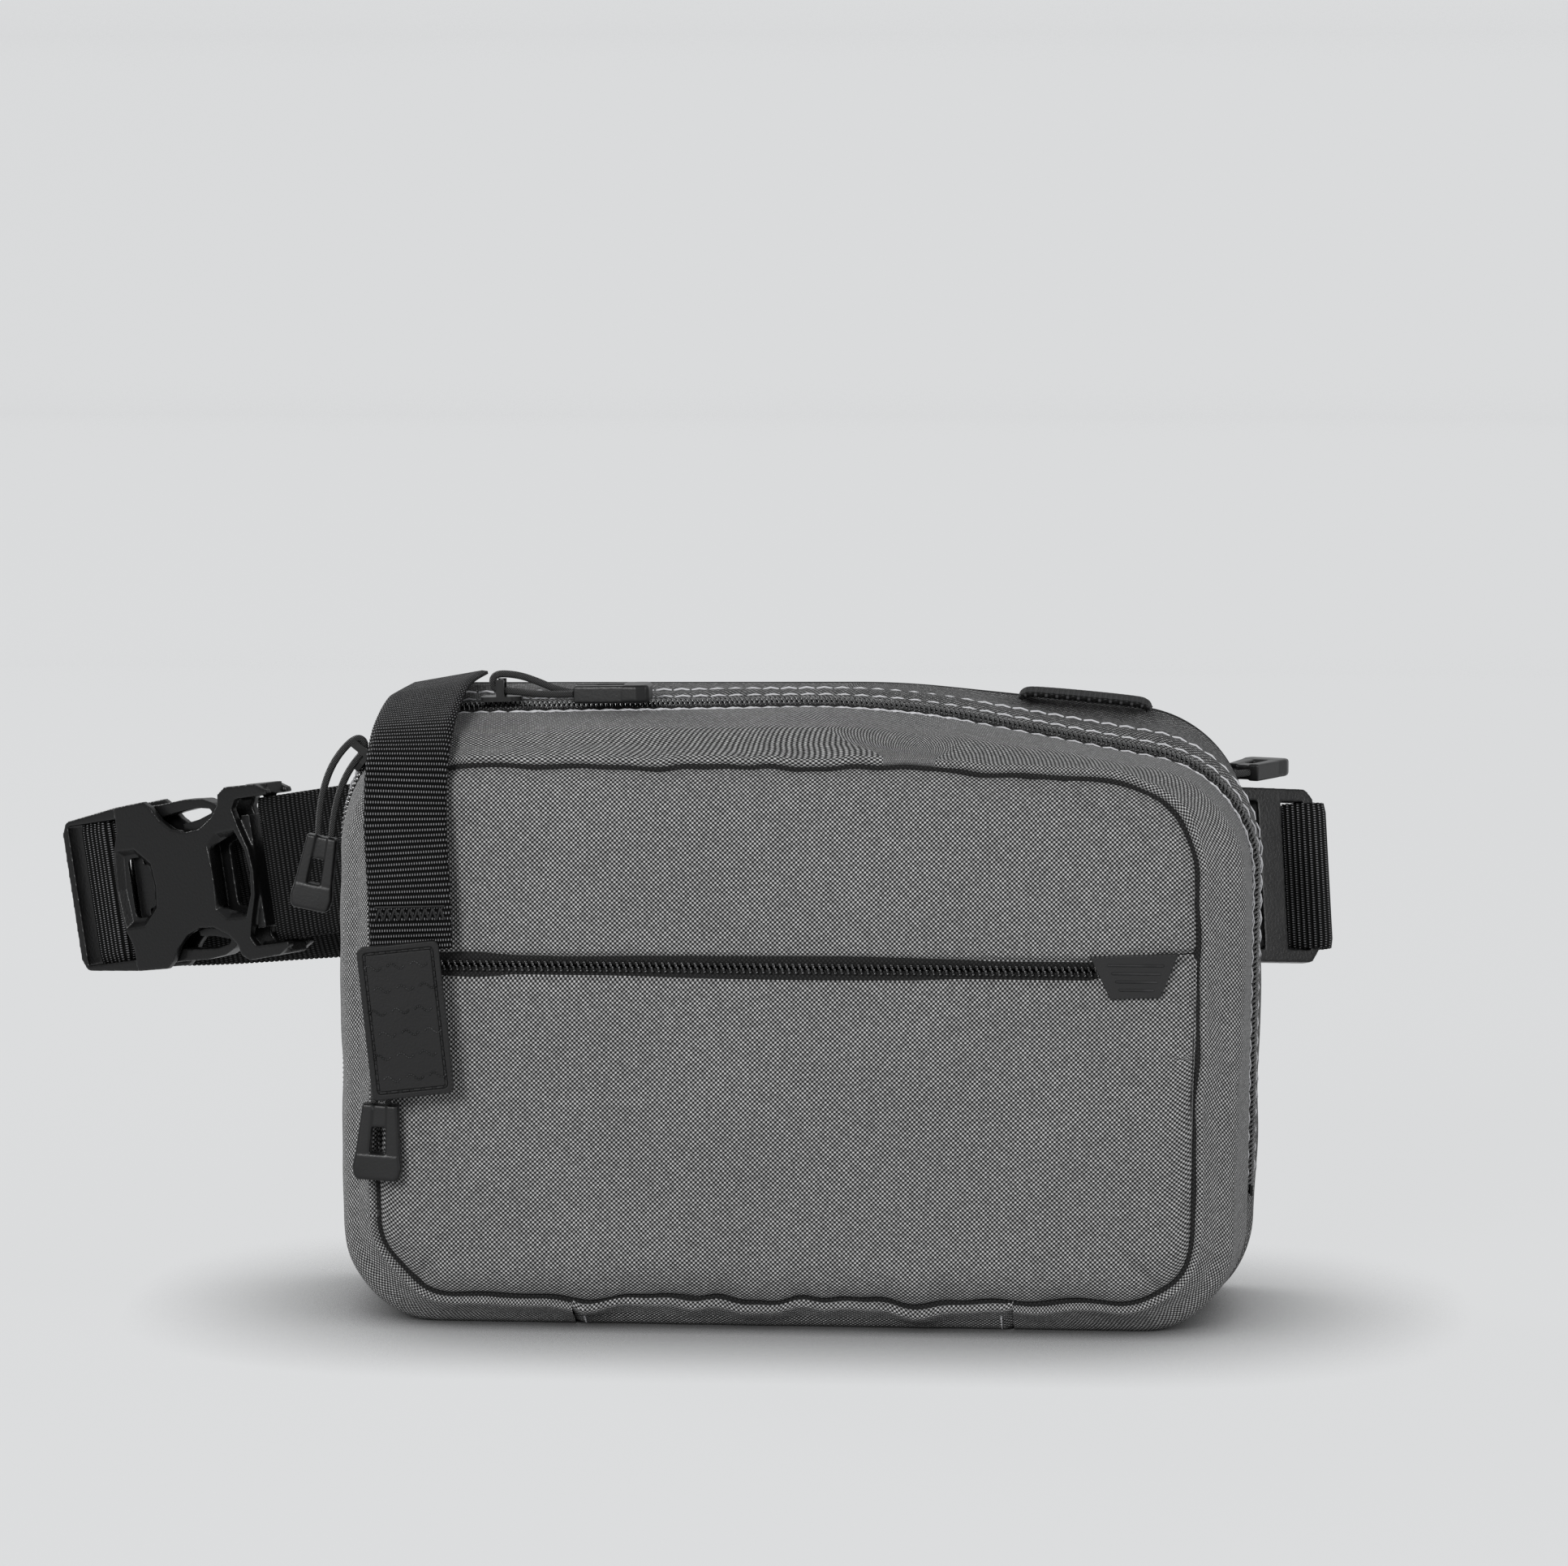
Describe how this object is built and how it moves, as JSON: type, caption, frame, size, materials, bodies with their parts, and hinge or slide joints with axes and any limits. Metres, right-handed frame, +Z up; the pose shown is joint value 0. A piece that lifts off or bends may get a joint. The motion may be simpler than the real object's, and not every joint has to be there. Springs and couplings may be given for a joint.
{
  "type": "belt bag",
  "caption": "Zipped fabric belt bag with front pocket, webbing belt, side-release buckle, strap adjuster and corded zip pulls.",
  "frame": {"origin": "middle of the flat base, on the surface the bag stands on", "axes": "+X to the right seen from the front, -Y is the front panel's side, +Z up"},
  "size_m": [0.3395, 0.1477, 0.1603],
  "materials": {
    "grey_fabric": "woven heather oxford, matte",
    "lining_fabric": "smooth woven lining",
    "back_fabric": "spacer mesh, matte",
    "foam": "closed-cell foam",
    "binding_tape": "ribbed binding tape",
    "zip_tape": "woven zip tape",
    "zip_coil": "moulded nylon coil, slight sheen",
    "slider_metal": "black lacquered die casting",
    "black_webbing": "ribbed nylon webbing",
    "black_thread": "bonded thread",
    "patch_rubber": "soft-touch rubber, matte",
    "pull_rubber": "moulded soft plastic, satin",
    "pull_cord": "braided cord",
    "black_plastic": "moulded acetal, fine matte texture"
  },
  "bodies": {
    "bag": {"front_gusset": "grey_fabric", "rear_gusset": "grey_fabric", "base_panel": "grey_fabric", "front_upper_panel": "grey_fabric", "front_lower_panel": "grey_fabric", "front_piping": "grey_fabric", "pocket_divider": "lining_fabric", "main_lining": "lining_fabric", "back_lining": "lining_fabric", "back_foam": "foam", "back_panel": "back_fabric", "rear_binding": "binding_tape", "main_zip_tape_front": "zip_tape", "main_zip_tape_rear": "zip_tape", "main_zip_coil_front": "zip_coil", "main_zip_coil_rear": "zip_coil", "main_zip_stops": "slider_metal", "front_zip_tape_upper": "zip_tape", "front_zip_tape_lower": "zip_tape", "front_zip_coil_upper": "zip_coil", "front_zip_coil_lower": "zip_coil", "rear_zip_tape": "zip_tape", "rear_zip_coil": "zip_coil", "front_strap": "black_webbing", "strap_bartack": "black_thread", "strap_fold": "black_webbing", "zip_tag": "patch_rubber", "haul_loop": "black_webbing", "left_webbing": "black_webbing", "left_anchor_patch": "black_webbing", "right_anchor_patch": "black_webbing", "right_anchor_webbing": "black_webbing", "long_belt": "black_webbing", "buckle_female": "black_plastic"},
    "top_slider": {"top_slider": "slider_metal"},
    "top_pull": {"top_pull_cord": "pull_cord", "top_pull_tab": "pull_rubber"},
    "left_slider": {"left_slider": "slider_metal"},
    "left_pull": {"left_pull_cord": "pull_cord", "left_pull_tab": "pull_rubber"},
    "front_slider": {"front_slider": "slider_metal"},
    "front_pull": {"front_pull_cord": "pull_cord", "front_pull_tab": "pull_rubber"},
    "rear_slider": {"rear_slider": "slider_metal"},
    "rear_pull": {"rear_pull_cord": "pull_cord", "rear_pull_tab": "pull_rubber"},
    "buckle_male": {"buckle_male": "black_plastic", "male_webbing_loop": "black_webbing"},
    "prong_upper": {"buckle_prong_upper": "black_plastic"},
    "prong_lower": {"buckle_prong_lower": "black_plastic"},
    "adjuster": {"adjuster_frame": "black_plastic", "adjuster_webbing_loop": "black_webbing"},
    "strap_patch": {"strap_patch": "patch_rubber"}
  },
  "joints": [
    {"name": "top_slider_run", "type": "slide", "parent": "bag", "child": "top_slider", "axis": [0.9997, 0, 0.0227], "range_m": [0, 0.085]},
    {"name": "top_pull_swing", "type": "hinge", "parent": "top_slider", "child": "top_pull", "pos_m": [-0.0741, 0, 0.1573], "axis": [0, -1, 0], "range_deg": [0, 150]},
    {"name": "left_slider_run", "type": "hinge", "parent": "bag", "child": "left_slider", "pos_m": [-0.08, 0, 0.11679], "axis": [0, -1, 0], "range_deg": [-12, 4]},
    {"name": "left_pull_swing", "type": "hinge", "parent": "left_slider", "child": "left_pull", "pos_m": [-0.11062, 0, 0.14158], "axis": [0, 1, 0], "range_deg": [0, 80]},
    {"name": "front_slider_run", "type": "slide", "parent": "bag", "child": "front_slider", "axis": [1, 0, 0], "range_m": [0, 0.163]},
    {"name": "front_pull_swing", "type": "hinge", "parent": "front_slider", "child": "front_pull", "pos_m": [-0.097, -0.042, 0.0911], "axis": [0, 1, 0], "range_deg": [-50, 50]},
    {"name": "rear_slider_run", "type": "slide", "parent": "bag", "child": "rear_slider", "axis": [-1, 0, 0], "range_m": [0, 0.165]},
    {"name": "rear_pull_swing", "type": "hinge", "parent": "rear_slider", "child": "rear_pull", "pos_m": [0.0995, 0.0454, 0.131], "axis": [0, 0, 1], "range_deg": [-20, 90]},
    {"name": "buckle_release", "type": "slide", "parent": "bag", "child": "buckle_male", "axis": [-0.8613, 0.4774, -0.1736], "range_m": [0, 0.045]},
    {"name": "prong_upper_squeeze", "type": "hinge", "parent": "buckle_male", "child": "prong_upper", "pos_m": [-0.18197, 0.08208, 0.11434], "axis": [0.4848, 0.8746, 0], "range_deg": [0, 7], "stiffness_Nm_per_rad": 0.3},
    {"name": "prong_lower_squeeze", "type": "hinge", "parent": "buckle_male", "child": "prong_lower", "pos_m": [-0.17617, 0.07886, 0.07672], "axis": [-0.4848, -0.8746, 0], "range_deg": [0, 7], "stiffness_Nm_per_rad": 0.3},
    {"name": "adjuster_pivot", "type": "hinge", "parent": "bag", "child": "adjuster", "pos_m": [0.10811, 0.04827, 0.10497], "axis": [-0.063, 0.2155, 0.9745], "range_deg": [-8, 10]},
    {"name": "patch_lift", "type": "hinge", "parent": "bag", "child": "strap_patch", "pos_m": [-0.0912, -0.0442, 0.0986], "axis": [-1, 0, 0], "range_deg": [0, 70]}
  ]
}
